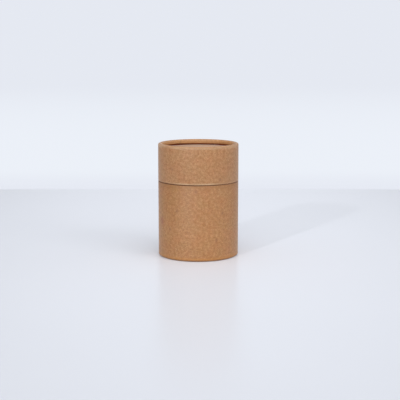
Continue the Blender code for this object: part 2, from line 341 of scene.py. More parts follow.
def make_fiber_effect():
    """Short curled fibres that lie three ways in the sheet, as a mask."""
    tree, given, result = effect_group(
        "paper_fibers",
        {"Place": None, "Fiber Length": 0.003, "Fiber Width": 0.0003, "Share": 0.2},
        ["Fibers"],
    )
    curl_scale = math_node(tree, "DIVIDE", 1.2, given["Fiber Length"])
    curl = node(tree, "TexNoise", {"Vector": given["Place"], "Scale": curl_scale, "Detail": 1.0})
    centered = node(tree, "VectorMath", {0: curl.outputs["Color"], 1: (0.5, 0.5, 0.5)}, operation="SUBTRACT")
    curl_size = math_node(tree, "MULTIPLY", given["Fiber Length"], 0.5)
    bent = node(tree, "VectorMath", {0: centered.outputs[0], "Scale": curl_size}, operation="SCALE")
    place = node(tree, "VectorMath", {0: given["Place"], 1: bent.outputs[0]}, operation="ADD")
    size = node(tree, "CombineXYZ", {"X": given["Fiber Length"], "Y": given["Fiber Width"], "Z": 1.0})
    fibers = 0.0
    for direction in FIBER_DIRECTIONS:
        turned = node(
            tree,
            "Mapping",
            {
                "Vector": place.outputs[0],
                "Rotation": (0.0, 0.0, math.radians(direction)),
                "Scale": size.outputs[0],
            },
            vector_type="TEXTURE",
        )
        cells = node(tree, "TexVoronoi", {"Vector": turned.outputs[0], "Scale": 1.0}, voronoi_dimensions="2D")
        strand = ramp(tree, cells.outputs["Distance"], 0.12, 0.26, 1.0, 0.0)
        pick = node(tree, "SeparateColor", {"Color": cells.outputs["Color"]})
        chosen = math_node(tree, "LESS_THAN", pick.outputs[0], given["Share"])
        fibers = math_node(tree, "MAXIMUM", fibers, math_node(tree, "MULTIPLY", strand, chosen))
    tree.links.new(fibers, result["Fibers"])
    return tree


def make_edge_band_effect():
    """A band near an edge at one height, for scuffs and painted highlights, as a mask that breaks up along
    its border.
    """
    tree, given, result = effect_group(
        "edge_band", {"Place": None, "Edge Height": 0.0, "Reach": 0.0006, "Grain": 0.0006}, ["Worn"]
    )
    height = node(tree, "SeparateXYZ", {"Vector": given["Place"]}).outputs["Z"]
    distance = math_node(tree, "ABSOLUTE", math_node(tree, "SUBTRACT", height, given["Edge Height"]))
    near = math_node(tree, "SUBTRACT", 1.0, math_node(tree, "DIVIDE", distance, given["Reach"]))
    scale = math_node(tree, "DIVIDE", 1.0, given["Grain"])
    grit = node(tree, "TexNoise", {"Vector": given["Place"], "Scale": scale, "Detail": 2.0})
    broken = math_node(tree, "ADD", near, math_node(tree, "SUBTRACT", grit.outputs["Fac"], 0.5))
    tree.links.new(ramp(tree, broken, 0.0, 0.8), result["Worn"])
    return tree


def make_corner_shade_effect():
    """Painted shade in the joint between lid and body, and in the corners where the end discs meet the lips,
    as a mask.
    """
    tree, given, result = effect_group("painted_corner_shade", {"Place": None}, ["Stain"])
    height = node(tree, "SeparateXYZ", {"Vector": given["Place"]}).outputs["Z"]
    radius = axis_distance(tree, given["Place"])
    near = 0.0
    for end in (LID_FACING_Z + FACING_THICKNESS, BASE_FACING_Z):
        distance = math_node(tree, "ABSOLUTE", math_node(tree, "SUBTRACT", height, end))
        near = math_node(tree, "MAXIMUM", near, ramp(tree, distance, *CORNER_SHADE_REACH, 1.0, 0.0))
    near = math_node(tree, "MULTIPLY", near, ramp(tree, radius, LIP_RADIUS - 0.0010, LIP_RADIUS + 0.0001))
    near = math_node(tree, "MULTIPLY", near, math_node(tree, "LESS_THAN", radius, BORE_RADIUS + 0.0003))
    distance = math_node(tree, "ABSOLUTE", math_node(tree, "SUBTRACT", height, JOINT_Z))
    joint = ramp(tree, distance, *JOINT_SHADE_REACH, 0.8, 0.0)
    tree.links.new(math_node(tree, "MAXIMUM", near, joint), result["Stain"])
    return tree


def make_grain_effect():
    """Fine even grain, as a height."""
    tree, given, result = effect_group("fine_grain", {"Place": None, "Grain Size": 0.0002}, ["Height"])
    scale = math_node(tree, "DIVIDE", 1.0, given["Grain Size"])
    grain = node(tree, "TexNoise", {"Vector": given["Place"], "Scale": scale, "Detail": 2.0})
    tree.links.new(grain.outputs["Fac"], result["Height"])
    return tree


cloudy_tone = make_cloud_effect()
paper_fibers = make_fiber_effect()
edge_band = make_edge_band_effect()
painted_corner_shade = make_corner_shade_effect()
fine_grain = make_grain_effect()


# Materials

def new_material(name):
    material = bpy.data.materials.new(name)
    material.use_nodes = True
    tree = material.node_tree
    return material, tree, tree.nodes["Principled BSDF"]


def finish_surface(tree, shader, color, roughness, height, bump_depth):
    """Links a colour, a roughness and a bump height to the shader."""
    tree.links.new(color, shader.inputs["Base Color"])
    tree.links.new(roughness, shader.inputs["Roughness"])
    bump = node(tree, "Bump", {"Height": height, "Distance": bump_depth, "Strength": 1.0})
    tree.links.new(bump.outputs["Normal"], shader.inputs["Normal"])


def on_wall(turn, height):
    """A place on the tube's wall, by degrees round from the front and height."""
    angle = math.radians(turn)
    return (OUTER_RADIUS * math.sin(angle), -OUTER_RADIUS * math.cos(angle), height)


def kraft_tone(tree, sheet, height, grain, on_body):
    """How pale the sheet is: clouds, mottle and grain, the body darker towards its top with painted shade
    just under the lid's edge, and the lid paler low down.
    """
    clouds = effect(tree, cloudy_tone, Place=sheet, Patch_Size=0.012, Depth=0.03)["Tone"]
    mottle = effect(tree, cloudy_tone, Place=sheet, Patch_Size=0.0022, Depth=0.27)["Tone"]
    flecks = effect(tree, fine_grain, Place=sheet, Grain_Size=0.0008)["Height"]
    tone = math_node(tree, "MULTIPLY", clouds, mottle)
    tone = math_node(tree, "MULTIPLY", tone, ramp(tree, grain, 0.25, 0.75, 0.76, 1.24))
    tone = math_node(tree, "MULTIPLY", tone, ramp(tree, flecks, 0.3, 0.7, 0.86, 1.14))
    darkening_and_shade = ramp(tree, height, BODY_DARKENING_FOOT, BODY_DARKENING_TOP, 0.040, 0.145)
    # Painted shade on the body just under the lid's edge.
    painted_under_lid_shade = ramp(tree, height, BODY_EDGE - UNDER_LID_SHADE_DEPTH, BODY_EDGE, 0.0, 0.26)
    darkening_and_shade = math_node(tree, "ADD", darkening_and_shade, painted_under_lid_shade)
    tone = math_node(tree, "SUBTRACT", tone, math_node(tree, "MULTIPLY", darkening_and_shade, on_body))
    on_lid = math_node(tree, "SUBTRACT", 1.0, on_body)
    # The lid paler low down.
    paler_low = ramp(tree, height, LID_PALER_FOOT, LID_PALER_TOP, 0.035, 0.0)
    return math_node(tree, "ADD", tone, math_node(tree, "MULTIPLY", on_lid, paler_low))


def kraft_base_color(tree, sheet, tone, on_body):
    """The sheet's own brown, from deep to light by its tone and redder in soft patches."""
    other_part = node(tree, "VectorMath", {0: sheet, 1: HUE_PLACE_SHIFT}, operation="ADD").outputs[0]
    hue = effect(tree, cloudy_tone, Place=other_part, Patch_Size=0.009, Depth=0.5)["Tone"]
    redness = ramp(tree, hue, 0.5, 1.5)
    deep = blend_color(tree, redness, KRAFT_DEEP, KRAFT_DEEP_REDDER)
    light = blend_color(tree, redness, KRAFT_LIGHT, KRAFT_LIGHT_REDDER)
    color = blend_color(tree, ramp(tree, tone, 0.64, 1.36), deep, light)
    return blend_color(tree, on_body, color, BODY_TINT, "MULTIPLY")


def add_kraft_marks(tree, color, place, height):
    """Paints warm reflected light on the rolled foot and shade on its underside, and adds the redder patch
    and the largest specks.
    """
    # Painted warm light reflected onto the rolled foot.
    color = blend_color(tree, ramp(tree, height, *FOOT_REFLECTED_LIGHT_REACH, 0.80, 0.0), color, FOOT_REFLECTED_LIGHT_COLOR)
    # Painted shade on the underside of the rolled foot.
    color = blend_color(tree, ramp(tree, height, *FOOT_SHADE_REACH, 0.54, 0.0), color, FOOT_SHADE_COLOR)
    apart = distance_between(tree, place, on_wall(*RED_PATCH))
    color = blend_color(tree, ramp(tree, apart, *RED_PATCH_REACH, 0.60, 0.0), color, RED_PATCH_COLOR)
    speck = 0.0
    for turn, speck_height in SPECKS:
        apart = distance_between(tree, place, on_wall(turn, speck_height))
        speck = math_node(tree, "MAXIMUM", speck, ramp(tree, apart, *SPECK_REACH, 0.55, 0.0))
    return blend_color(tree, speck, color, SPECK_COLOR)


def add_kraft_fibers(tree, color, sheet):
    """Lays pale and dark fibres and short shives over the colour; the pale ones also stand up."""
    pale = effect(tree, paper_fibers, Place=sheet, Fiber_Length=0.0034, Fiber_Width=0.00030, Share=0.34)
    dark = effect(tree, paper_fibers, Place=sheet, Fiber_Length=0.0016, Fiber_Width=0.00036, Share=0.16)
    shives = effect(tree, paper_fibers, Place=sheet, Fiber_Length=0.0012, Fiber_Width=0.0010, Share=0.07)
    for strands, strength, strand_color in (
        (pale, 0.26, PALE_FIBER_COLOR),
        (dark, 0.42, DARK_FIBER_COLOR),
        (shives, 0.60, SHIVE_COLOR),
    ):
        amount = math_node(tree, "MULTIPLY", strands["Fibers"], strength)
        color = blend_color(tree, amount, color, strand_color)
    return color, pale["Fibers"]


def kraft_wear_and_highlight(tree, sheet, place, split):
    """Streaky rubbing and painted highlight along the rims and the lid's edge, most in front and on the left,
    as a mask.
    """
    stretched = node(tree, "VectorMath", {0: sheet, 1: STREAK_STRETCH}, operation="MULTIPLY").outputs[0]
    streaks = node(tree, "TexNoise", {"Vector": stretched, "Scale": 1.0, "Detail": 2.0}).outputs["Fac"]
    in_front = ramp(tree, split["Y"], -0.0322, -0.0250, 0.50, 0.10)
    wear_and_highlight = 0.0
    for edge, reach, amount in (
        (TUBE_TOP - ROLL_RADIUS, 0.0016, 0.30),
        (LID_EDGE + 0.0007, 0.0009, in_front),
        (0.0, 0.0007, 0.10),
    ):
        edge_mark = effect(tree, edge_band, Place=place, Edge_Height=edge, Reach=reach)["Worn"]
        wear_and_highlight = math_node(tree, "MAXIMUM", wear_and_highlight, math_node(tree, "MULTIPLY", edge_mark, amount))
    for mask in (
        ramp(tree, streaks, 0.35, 0.65, 0.45, 1.35),
        ramp(tree, split["Y"], -0.01, 0.02, 1.0, 0.1),
        ramp(tree, split["X"], -0.028, 0.012, 1.20, 0.85),
    ):
        wear_and_highlight = math_node(tree, "MULTIPLY", wear_and_highlight, mask)
    return wear_and_highlight


def kraft_recess_light(tree, place):
    """Painted light on the paper inside the lips, as a mask; less of it on the discs."""
    radius = axis_distance(tree, place)
    painted_recess_light = ramp(tree, radius, LIP_RADIUS + 0.0001, LIP_RADIUS + 0.0008, 0.35, 0.0)
    on_disc = math_node(tree, "LESS_THAN", radius, LIP_RADIUS - 0.0001)
    return math_node(tree, "SUBTRACT", painted_recess_light, math_node(tree, "MULTIPLY", on_disc, 0.10))


def make_kraft():
    """Kraft facing: cloudy brown sheet with pale and dark fibres, streaked and rubbed where it was rolled,
    with painted highlight on the rims, painted light in the recesses and painted shade in the corners and the
    joint.
    """
    material, tree, shader = new_material("kraft_facing_paper")
    sheet = node(tree, "UVMap", uv_map="sheet").outputs["UV"]
    place = node(tree, "TexCoord").outputs["Object"]
    split = node(tree, "SeparateXYZ", {"Vector": place}).outputs
    height = split["Z"]
    on_body = math_node(tree, "LESS_THAN", height, JOINT_Z)
    grain = effect(tree, fine_grain, Place=sheet, Grain_Size=0.00025)["Height"]

    tone = kraft_tone(tree, sheet, height, grain, on_body)
    color = kraft_base_color(tree, sheet, tone, on_body)
    color = add_kraft_marks(tree, color, place, height)
    color, pale_fibers = add_kraft_fibers(tree, color, sheet)
    wear_and_highlight = kraft_wear_and_highlight(tree, sheet, place, split)
    # Rubbed paper, partly painted highlight on the rims and the lid's edge.
    color = blend_color(tree, wear_and_highlight, color, RUBBED_AND_HIGHLIGHT_COLOR)
    # Painted light inside the lips and on the discs.
    color = blend_color(tree, kraft_recess_light(tree, place), color, RECESS_LIGHT_COLOR)
    # Painted shade in the disc corners and in the joint between lid and body.
    painted_shade = effect(tree, painted_corner_shade, Place=place)["Stain"]
    color = blend_color(tree, math_node(tree, "MULTIPLY", painted_shade, 0.85), color, PAINTED_SHADE_COLOR)

    roughness = ramp(tree, grain, 0.2, 0.8, 0.50, 0.60)
    roughness = math_node(tree, "ADD", roughness, math_node(tree, "MULTIPLY", wear_and_highlight, 0.2))
    relief = math_node(tree, "ADD", grain, math_node(tree, "MULTIPLY", pale_fibers, 0.5))
    shader.inputs["Specular IOR Level"].default_value = 0.8
    shader.inputs["Sheen Weight"].default_value = 0.22
    shader.inputs["Sheen Roughness"].default_value = 0.35
    shader.inputs["Sheen Tint"].default_value = (1.0, 0.97, 0.94, 1.0)
    finish_surface(tree, shader, color, roughness, relief, 0.00003)
    return material


def make_board():
    """Tube board: greyer brown pulp, with the plies showing as bands on a cut edge."""
    material, tree, shader = new_material("tube_board_pulp")
    place = node(tree, "TexCoord").outputs["Object"]
    clouds = effect(tree, cloudy_tone, Place=place, Patch_Size=0.007, Depth=0.05)["Tone"]
    mottle = effect(tree, cloudy_tone, Place=place, Patch_Size=0.0012, Depth=0.07)["Tone"]
    grain = effect(tree, fine_grain, Place=place, Grain_Size=0.0003)["Height"]
    tone = math_node(tree, "MULTIPLY", clouds, mottle)
    ply_turns = FULL_TURN * PLIES / (WALL_RADIUS - BORE_RADIUS)
    turns = math_node(tree, "MULTIPLY", axis_distance(tree, place), ply_turns)
    plies = ramp(tree, math_node(tree, "SINE", turns), -1.0, 1.0, 0.90, 1.08)
    tone = math_node(tree, "MULTIPLY", tone, plies)
    color = scaled_color(tree, BOARD_COLOR, tone)
    shreds = effect(tree, paper_fibers, Place=place, Fiber_Length=0.0024, Fiber_Width=0.0004, Share=0.35)
    color = blend_color(tree, math_node(tree, "MULTIPLY", shreds["Fibers"], 0.25), color, SHRED_COLOR)
    # Painted shade in the disc corners and in the joint between lid and body.
    painted_shade = effect(tree, painted_corner_shade, Place=place)["Stain"]
    color = blend_color(tree, math_node(tree, "MULTIPLY", painted_shade, 0.9), color, PAINTED_SHADE_COLOR)
    roughness = ramp(tree, grain, 0.2, 0.8, 0.72, 0.88)
    relief = math_node(tree, "ADD", grain, shreds["Fibers"])
    finish_surface(tree, shader, color, roughness, relief, 0.00004)
    return material


def make_foil():
    """Foil-faced liner paper: dull silver with fine crinkles and rub marks."""
    material, tree, shader = new_material("foil_faced_paper")
    place = node(tree, "TexCoord").outputs["Object"]
    cells = node(tree, "TexVoronoi", {"Vector": place, "Scale": CRINKLES_PER_METER}, feature="SMOOTH_F1")
    crinkle = cells.outputs["Distance"]
    grain = effect(tree, fine_grain, Place=place, Grain_Size=0.0004)["Height"]
    tone = effect(tree, cloudy_tone, Place=place, Patch_Size=0.005, Depth=0.04)["Tone"]
    color = scaled_color(tree, FOIL_COLOR, tone)
    roughness = ramp(tree, grain, 0.2, 0.8, 0.26, 0.42)
    relief = math_node(tree, "ADD", crinkle, math_node(tree, "MULTIPLY", grain, 0.4))
    shader.inputs["Metallic"].default_value = 0.9
    finish_surface(tree, shader, color, roughness, relief, 0.00012)
    return material


def make_plastic(name, tint, gloss, grain_size):
    """Moulded plastic with a faint spark-eroded skin and slow flow marks."""
    material, tree, shader = new_material(name)
    place = node(tree, "TexCoord").outputs["Object"]
    flow = effect(tree, cloudy_tone, Place=place, Patch_Size=0.009, Depth=0.02)["Tone"]
    skin = effect(tree, fine_grain, Place=place, Grain_Size=grain_size)["Height"]
    color = scaled_color(tree, tint, flow)
    roughness = ramp(tree, skin, 0.2, 0.8, gloss - 0.05, gloss + 0.07)
    shader.inputs["Subsurface Weight"].default_value = 0.08
    shader.inputs["Subsurface Radius"].default_value = (0.001, 0.001, 0.0009)
    finish_surface(tree, shader, color, roughness, skin, 0.00001)
    return material


kraft = make_kraft()
board = make_board()
foil = make_foil()
insert_plastic = make_plastic("moulded_insert", INSERT_COLOR, 0.42, 0.00025)
dial_plastic = make_plastic("moulded_dial", DIAL_COLOR, 0.36, 0.00018)


# Shapes

def section(corners, rounds=()):
    """One closed outline of (radius, height) corners. Each round is (corner numbers, radius, segments)."""
    bm = bmesh.new()
    verts = [bm.verts.new((radius, 0.0, height)) for radius, height in corners]
    bm.faces.new(verts)
    for numbers, radius, segments in rounds:
        bmesh.ops.bevel(
            bm,
            geom=[verts[number] for number in numbers],
            affect="VERTICES",
            offset=radius,
            segments=segments,
            profile=0.5,
            material=-1,
        )
    return bm


def spun(bm, steps=WALL_STEPS, seam_angle=None):
    """Spins the outline round the tube's axis: whole, or with the wrap's butted seam at an angle."""
    outline = bm.faces[:]
    geometry = bm.verts[:] + bm.edges[:]
    sweep = FULL_TURN
    if seam_angle is None:
        bm.faces.remove(outline[0])
    else:
        opening = SEAM_GAP / OUTER_RADIUS
        sweep -= opening
        geometry += outline
        turn = Matrix.Rotation(seam_angle + opening / 2, 3, "Z")
        bmesh.ops.rotate(bm, verts=bm.verts, matrix=turn)
    bmesh.ops.spin(
        bm, geom=geometry, axis=(0, 0, 1), angle=sweep, steps=steps, use_merge=seam_angle is None
    )
    bmesh.ops.remove_doubles(bm, verts=bm.verts, dist=WELD_DISTANCE)
    return bm


def lay_out_sheet(bm, seam_angle):
    """Writes each face's place on the flat sheet, in metres round from the seam and up the tube."""
    sheet = bm.loops.layers.uv.new("sheet")
    for face in bm.faces:
        middle = face.calc_center_median()
        middle_turn = math.atan2(middle.y, middle.x)
        from_seam = (middle_turn - seam_angle) % FULL_TURN
        for loop in face.loops:
            point = loop.vert.co
            step = math.remainder(math.atan2(point.y, point.x) - middle_turn, FULL_TURN)
            radius = math.hypot(point.x, point.y)
            loop[sheet].uv = ((from_seam + step) * OUTER_RADIUS, point.z + OUTER_RADIUS - radius)


def lay_out_disc(bm):
    """Writes each face's place on the flat sheet that a disc was cut from, in metres."""
    sheet = bm.loops.layers.uv.new("sheet")
    for face in bm.faces:
        for loop in face.loops:
            loop[sheet].uv = loop.vert.co.xy


def link_piece(name, bm, finish, body, node_name):
    """Links a finished bmesh as a piece that stands for a CAD node."""
    bmesh.ops.recalc_face_normals(bm, faces=bm.faces)
    mesh = bpy.data.meshes.new(name)
    bm.to_mesh(mesh)
    bm.free()
    mesh.materials.append(finish)
    shade(mesh)
    piece = bpy.data.objects.new(name, mesh)
    bpy.context.scene.collection.objects.link(piece)
    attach(piece, body)
    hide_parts(node_name)
    return piece


def shade(mesh):
    mesh.shade_smooth()
    mesh.set_sharp_from_angle(angle=SHARP_ANGLE)


def upside_down(corners, height):
    return [(radius, height - z) for radius, z in corners]


def wrap_corners(edge, top):
    """Kraft wrap from its open edge up the wall, over the rolled rim and down the lip."""
    lip_z = top - LIP_DEPTH
    return [
        (OUTER_RADIUS, edge),
        (OUTER_RADIUS, top),
        (LIP_RADIUS, top),
        (LIP_RADIUS, lip_z),
        (LIP_RADIUS + WRAP_THICKNESS, lip_z),
        (LIP_RADIUS + WRAP_THICKNESS, top - WRAP_THICKNESS),
        (OUTER_RADIUS - WRAP_THICKNESS, top - WRAP_THICKNESS),
        (OUTER_RADIUS - WRAP_THICKNESS, edge),
    ]


WRAP_ROUNDS = (
    ((1, 2), ROLL_RADIUS, ROLL_SEGMENTS),
    ((5, 6), ROLL_RADIUS - WRAP_THICKNESS, ROLL_SEGMENTS),
    ((0, 3, 4, 7), EDGE_ROUND, EDGE_SEGMENTS),
)


def ply_grooves(edge, outer, inner, inward):
    """Fine grooves between the plies across a cut edge; inward is +1 where they cut upwards."""
    points = []
    for ply in range(1, PLIES):
        radius = outer + (inner - outer) * ply / PLIES
        points.append((radius + PLY_GROOVE_WIDTH / 2, edge))
        points.append((radius, edge + inward * PLY_GROOVE_DEPTH))
        points.append((radius - PLY_GROOVE_WIDTH / 2, edge))
    return points


def wall_corners(edge, top):
    """Board wall folded back on itself at the rolled rim, with its plies showing on the open edge."""
    board_top = top - (OUTER_RADIUS - WALL_RADIUS)
    lip_z = top - LIP_DEPTH
    folded = [
        (WALL_RADIUS, edge),
        (WALL_RADIUS, board_top),
        (BOARD_LIP_RADIUS, board_top),
        (BOARD_LIP_RADIUS, lip_z),
        (BORE_RADIUS, lip_z),
        (BORE_RADIUS, edge),
    ]
    return folded + ply_grooves(edge, WALL_RADIUS, BORE_RADIUS, 1)[::-1]


WALL_ROUNDS = (
    ((1, 2), BOARD_ROLL_RADIUS, ROLL_SEGMENTS),
    ((0, 5), EDGE_ROUND, EDGE_SEGMENTS),
)


def work_lip(bm, top, side):
    """Gathers the rolled lip in small creases and lets its edge wander; side is +1 for the top rim."""
    crest = top - side * ROLL_RADIUS
    for vert in bm.verts:
        radius = math.hypot(vert.co.x, vert.co.y)
        if radius > BORE_RADIUS + WELD_DISTANCE or abs(vert.co.z - top) > LIP_DEPTH + WELD_DISTANCE:
            continue
        angle = math.atan2(vert.co.y, vert.co.x)
        around = Vector((math.cos(angle), math.sin(angle), 0.0))
        inside = min((BORE_RADIUS - radius) / (BORE_RADIUS - LIP_RADIUS), 1.0)
        gather = max(noise.noise(around * GATHERS_PER_RADIAN), 0.0)
        shrink = 1.0 - GATHER_DEPTH * gather * inside / radius
        vert.co.x *= shrink
        vert.co.y *= shrink
        below_roll = min(max(side * (crest - vert.co.z) / (LIP_DEPTH - ROLL_RADIUS), 0.0), 1.0)
        vert.co.z += side * below_roll**2 * lip_edge_rise(angle, around)


def lip_edge_rise(angle, around):
    """How far the lip's edge stands off its even line: a slow wave, and two lifted places at the back."""
    rise = LIP_WAVE * noise.noise(around * LIP_WAVES_PER_RADIAN + LIP_WAVE_PLACE)
    for place, spread in LIP_LIFT_PLACES:
        away = math.remainder(angle - place, FULL_TURN) / spread
        rise += LIP_LIFT * math.exp(-away * away)
    return rise


def tilt_open_edge(bm, edge):
    """Sets the lid's open edge slightly out of square."""
    for vert in bm.verts:
        near = max(1.0 - abs(vert.co.z - edge) / LIP_DEPTH, 0.0)
        angle = math.atan2(vert.co.y, vert.co.x)
        vert.co.z += near * LID_TILT * math.cos(angle - LID_TILT_ANGLE)


def plate_corners(radius, foot, thickness):
    return [(0.0, foot), (radius, foot), (radius, foot + thickness), (0.0, foot + thickness)]


def sleeve_corners(radius, bore, foot, top):
    return [(radius, foot), (radius, top), (bore, top), (bore, foot)]


# Kraft wraps

def make_wraps():
    lid_wrap = spun(section(wrap_corners(LID_EDGE, TUBE_TOP), WRAP_ROUNDS), WRAP_STEPS, LID_SEAM_ANGLE)
    lay_out_sheet(lid_wrap, LID_SEAM_ANGLE)
    work_lip(lid_wrap, TUBE_TOP, 1)
    tilt_open_edge(lid_wrap, LID_EDGE)
    link_piece("lid_kraft_wrap", lid_wrap, kraft, "lid", "lid_wrap")
    corners = upside_down(wrap_corners(0.0, BODY_EDGE), BODY_EDGE)
    body_wrap = spun(section(corners, WRAP_ROUNDS), WRAP_STEPS, BODY_SEAM_ANGLE)
    lay_out_sheet(body_wrap, BODY_SEAM_ANGLE)
    work_lip(body_wrap, 0.0, -1)
    link_piece("body_kraft_wrap", body_wrap, kraft, "tube", "base_wrap")


# Board tubes, end discs and their facings

def make_walls():
    lid_wall = spun(section(wall_corners(LID_EDGE, TUBE_TOP), WALL_ROUNDS))
    work_lip(lid_wall, TUBE_TOP, 1)
    tilt_open_edge(lid_wall, LID_EDGE)
    link_piece("lid_board_wall", lid_wall, board, "lid", "lid_tube")
    corners = upside_down(wall_corners(0.0, BODY_EDGE), BODY_EDGE)
    body_wall = spun(section(corners, WALL_ROUNDS))
    work_lip(body_wall, 0.0, -1)
    link_piece("body_board_wall", body_wall, board, "tube", "base_tube")


def make_end_discs():
    for name, node_name, body, foot in (
        ("lid_board_disc", "lid_disc", "lid", LID_DISC_Z),
        ("body_board_disc", "base_disc", "tube", BASE_DISC_Z),
    ):
        corners = plate_corners(DISC_RADIUS, foot, DISC_THICKNESS)
        disc = spun(section(corners, (((1, 2), DISC_ROUND, CORNER_SEGMENTS),)))
        link_piece(name, disc, board, body, node_name)
    for name, node_name, body, foot in (
        ("lid_kraft_facing", "lid_disc_facing", "lid", LID_FACING_Z),
        ("body_kraft_facing", "base_disc_facing", "tube", BASE_FACING_Z),
    ):
        corners = plate_corners(DISC_RADIUS, foot, FACING_THICKNESS)
        facing = spun(section(corners, (((1, 2), EDGE_ROUND, EDGE_SEGMENTS),)))
        lay_out_disc(facing)
        link_piece(name, facing, kraft, body, node_name)


# Neck and its foil liners

def make_neck():
    corners = sleeve_corners(NECK_RADIUS, NECK_BORE_RADIUS, NECK_FOOT, NECK_TOP)
    corners[2:2] = ply_grooves(NECK_TOP, NECK_RADIUS, NECK_BORE_RADIUS, -1)
    last = len(corners) - 2
    neck = spun(section(corners, (((1, last), EDGE_ROUND, EDGE_SEGMENTS),)))
    link_piece("neck_board_sleeve", neck, board, "tube", "neck_tube")
    corners = sleeve_corners(LINER_RADIUS, CHAMBER_RADIUS, LINER_FOOT, NECK_TOP)
    liner = spun(section(corners, (((1, 2), LINER_ROUND, EDGE_SEGMENTS),)))
    link_piece("neck_foil_liner", liner, foil, "tube", "barrier_liner")
    corners = plate_corners(LINER_RADIUS, NECK_FOOT, LINER_THICKNESS)
    floor_liner = spun(section(corners, (((1, 2), LINER_ROUND, EDGE_SEGMENTS),)))
    link_piece("floor_foil_liner", floor_liner, foil, "tube", "bottom_liner")


# Sifter insert and dial

def combine(piece, bm, operation):
    """Adds the bmesh to the piece, or cuts it out."""
    bmesh.ops.recalc_face_normals(bm, faces=bm.faces)
    mesh = bpy.data.meshes.new("helper")
    bm.to_mesh(mesh)
    bm.free()
    helper = bpy.data.objects.new("helper", mesh)
    bpy.context.scene.collection.objects.link(helper)
    modifier = piece.modifiers.new(operation.lower(), "BOOLEAN")
    modifier.operation = operation
    modifier.object = helper
    modifier.solver = "EXACT"
    bpy.context.view_layer.update()
    graph = bpy.context.evaluated_depsgraph_get()
    piece.data = bpy.data.meshes.new_from_object(piece.evaluated_get(graph))
    piece.modifiers.clear()
    bpy.data.objects.remove(helper, do_unlink=True)


def soften_edges(piece, width):
    """Welds the slivers and joins the flat faces that the cuts left, and rounds the moulded edges."""
    bm = bmesh.new()
    bm.from_mesh(piece.data)
    bmesh.ops.remove_doubles(bm, verts=bm.verts, dist=CUT_WELD_DISTANCE)
    bmesh.ops.dissolve_degenerate(bm, edges=bm.edges, dist=CUT_WELD_DISTANCE / 2)
    bmesh.ops.dissolve_limit(bm, angle_limit=FLAT_ANGLE, verts=bm.verts, edges=bm.edges)
    bm.to_mesh(piece.data)
    bm.free()
    shade(piece.data)
    bevel = piece.modifiers.new("moulded_edges", "BEVEL")
    bevel.width = width
    bevel.segments = EDGE_SEGMENTS
    bevel.limit_method = "ANGLE"
    bevel.angle_limit = MOULD_ROUND_ANGLE
    bevel.use_clamp_overlap = False
    bevel.harden_normals = True


def moved(bm, z, turn=0.0):
    bmesh.ops.rotate(bm, verts=bm.verts, matrix=Matrix.Rotation(turn, 3, "Z"))
    bmesh.ops.translate(bm, verts=bm.verts, vec=(0.0, 0.0, z))
    return bm


def round_plate(radius, foot, thickness, steps=WALL_STEPS):
    """A round plate whose faces are one piece each, so that cuts leave clean edges."""
    bm = bmesh.new()
    bmesh.ops.create_cone(
        bm,
        cap_ends=True,
        segments=steps,
        radius1=radius,
        radius2=radius,
        depth=thickness,
        matrix=Matrix.Translation((0.0, 0.0, foot + thickness / 2)),
    )
    return bm


def sifting_holes(foot, top, turn):
    """Round cutters for the holes, in wedges round the axis."""
    bm = bmesh.new()
    for wedge in range(HOLE_WEDGES):
        middle = turn + 2 * HALF_WEDGE * wedge
        for row in range(HOLE_ROWS):
            radius = OUTER_ROW_RADIUS - row * HOLE_PITCH
            count = HOLE_ROWS - row
            for hole in range(count):
                angle = middle + (hole - (count - 1) / 2) * HOLE_PITCH / radius
                center = (radius * math.cos(angle), radius * math.sin(angle), (foot + top) / 2)
                half_side_on = Matrix.Rotation(angle + math.pi / HOLE_SIDES, 4, "Z")
                bmesh.ops.create_cone(
                    bm,
                    cap_ends=True,
                    segments=HOLE_SIDES,
                    radius1=HOLE_RADIUS,
                    radius2=HOLE_RADIUS,
                    depth=top - foot,
                    matrix=Matrix.Translation(center) @ half_side_on,
                )
    return bm


def block(size, center, draft=0.0):
    """A box whose top is drawn in by the draft on every side."""
    bm = bmesh.new()
    bmesh.ops.create_cube(bm, size=1.0)
    bmesh.ops.scale(bm, verts=bm.verts, vec=size)
    for vert in bm.verts:
        if vert.co.z > 0:
            vert.co.x -= math.copysign(draft, vert.co.x)
            vert.co.y -= math.copysign(draft, vert.co.y)
    bmesh.ops.translate(bm, verts=bm.verts, vec=center)
    return bm


def cut_sifting_holes(piece, foot, thickness, turn):
    cutters = sifting_holes(foot - CUT_OVERRUN, foot + thickness + CUT_OVERRUN, turn)
    combine(piece, cutters, "DIFFERENCE")


def skirt_section():
    """The insert's ring in section: flange, skirt with its sealing beads, and a rounded lead-in."""
    corners = [
        (WELL_RADIUS, FLANGE_THICKNESS),
        (FLANGE_RADIUS, FLANGE_THICKNESS),
        (FLANGE_RADIUS, 0.0),
        (SKIRT_RADIUS, 0.0),
    ]
    under_flange = len(corners) - 1
    bead_tops = []
    for z in BEAD_HEIGHTS:
        corners.append((SKIRT_RADIUS, z + BEAD_WIDTH / 2))
        bead_tops.append(len(corners))
        corners.append((SKIRT_RADIUS + BEAD_HEIGHT, z))
        corners.append((SKIRT_RADIUS, z - BEAD_WIDTH / 2))
    lead_in = len(corners)
    corners.append((SKIRT_RADIUS, -SKIRT_DEPTH))
    corners.append((WELL_RADIUS, -SKIRT_DEPTH))
    rounds = (
        (bead_tops, BEAD_ROUND, BEAD_SEGMENTS),
        ((lead_in,), LEAD_IN_ROUND, BEAD_SEGMENTS),
        ((under_flange,), FLANGE_FILLET, CORNER_SEGMENTS),
    )
    return section(corners, rounds)


